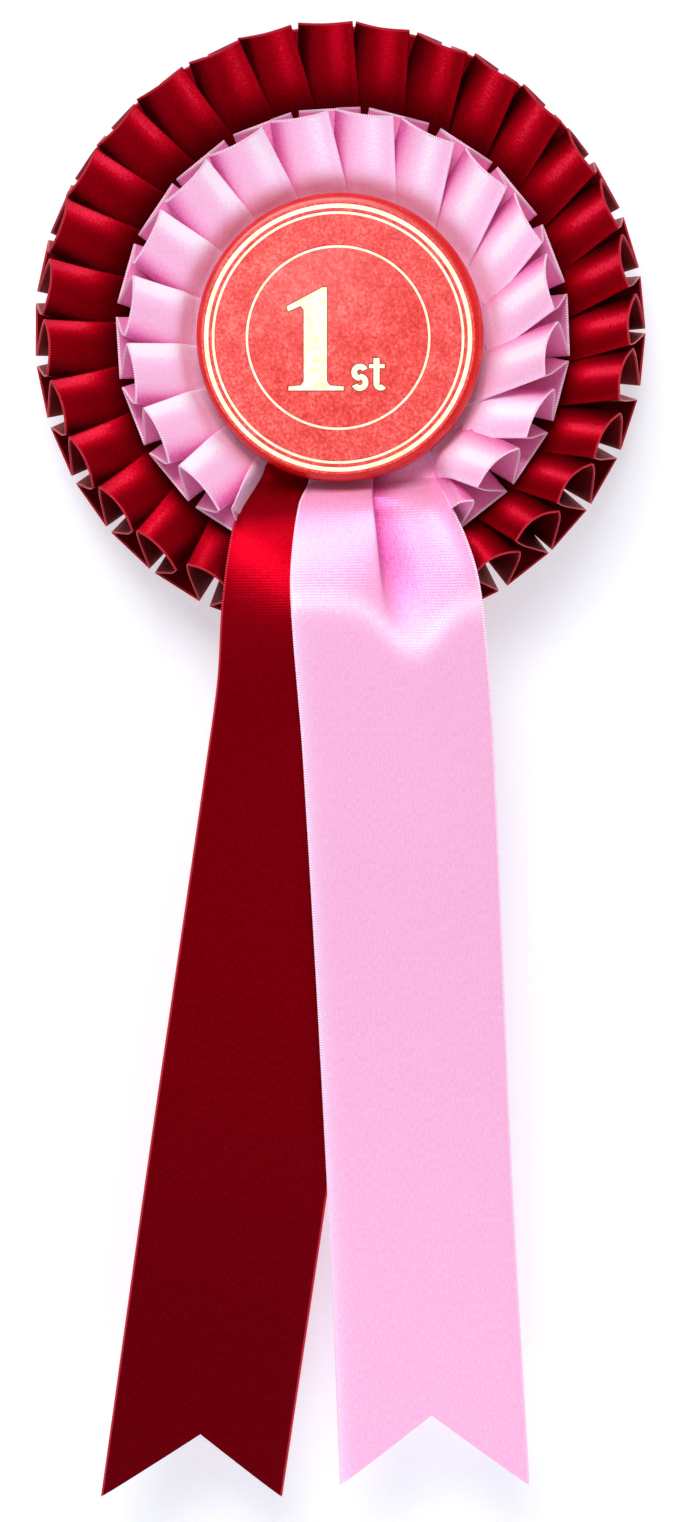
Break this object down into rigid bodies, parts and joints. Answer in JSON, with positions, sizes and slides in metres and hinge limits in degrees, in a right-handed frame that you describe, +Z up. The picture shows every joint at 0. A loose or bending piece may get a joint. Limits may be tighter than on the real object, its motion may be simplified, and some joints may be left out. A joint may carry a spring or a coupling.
{
  "type": "award rosette",
  "caption": "First-place rosette: two pleated satin tiers, a covered button with a gold numeral, two hanging swallow-tailed ribbons and a brooch pin behind.",
  "frame": {"origin": "middle of the straight length of the brooch pin's stem, behind the rosette", "axes": "+Z up as worn, +X to the right seen from the front and along the pin to its point, -Y out of the rosette's face"},
  "size_m": [0.124, 0.0251, 0.2951],
  "materials": {
    "red_satin": "woven satin ribbon, deep red",
    "pink_satin": "woven satin ribbon, pale pink",
    "white_card": "uncoated white board",
    "hot_glue": "set hot-melt glue",
    "white_thread": "cotton sewing thread",
    "foam": "closed-cell foam",
    "plated_steel": "nickel-plated steel",
    "tinplate": "pressed tinplate",
    "red_leathercloth": "printed leathercloth",
    "gold_foil": "hot-stamped gold foil"
  },
  "bodies": {
    "rosette": {"outer_tier": "red_satin", "inner_tier": "pink_satin", "red_tail_tab": "red_satin", "pink_tail_tab": "pink_satin", "base_card": "white_card", "rear_card": "white_card", "rear_glue": "hot_glue", "button_glue": "hot_glue", "outer_stitches": "white_thread", "inner_stitches": "white_thread", "spacer_pad": "foam", "pin_tape": "foam", "tail_staples": "plated_steel", "pin_bar": "plated_steel", "pin_rivet": "plated_steel", "button_shell": "tinplate", "button_back": "tinplate", "button_board": "white_card", "button_cover": "red_leathercloth", "foil_wide_ring": "gold_foil", "foil_narrow_ring": "gold_foil", "foil_inner_ring": "gold_foil", "foil_numeral": "gold_foil", "foil_suffix": "gold_foil"},
    "pin_stem": {"pin_stem": "plated_steel"},
    "pin_catch": {"pin_catch": "plated_steel"},
    "red_tail": {"red_tail": "red_satin"},
    "pink_tail": {"pink_tail": "pink_satin"}
  },
  "joints": [
    {"name": "pin_swing", "type": "hinge", "parent": "rosette", "child": "pin_stem", "pos_m": [-0.0124, 0, 0], "axis": [0, 0, 1], "range_deg": [0, 80]},
    {"name": "catch_turn", "type": "hinge", "parent": "rosette", "child": "pin_catch", "pos_m": [0.0135, 0, 0], "axis": [1, 0, 0], "range_deg": [0, 110]},
    {"name": "red_tail_swing", "type": "hinge", "parent": "rosette", "child": "red_tail", "pos_m": [-0.0051, -0.0126, -0.0496], "axis": [-1, 0, 0], "range_deg": [0, 30]},
    {"name": "pink_tail_swing", "type": "hinge", "parent": "red_tail", "child": "pink_tail", "pos_m": [0.0068, -0.0135, -0.0496], "axis": [-1, 0, 0], "range_deg": [0, 40]}
  ]
}
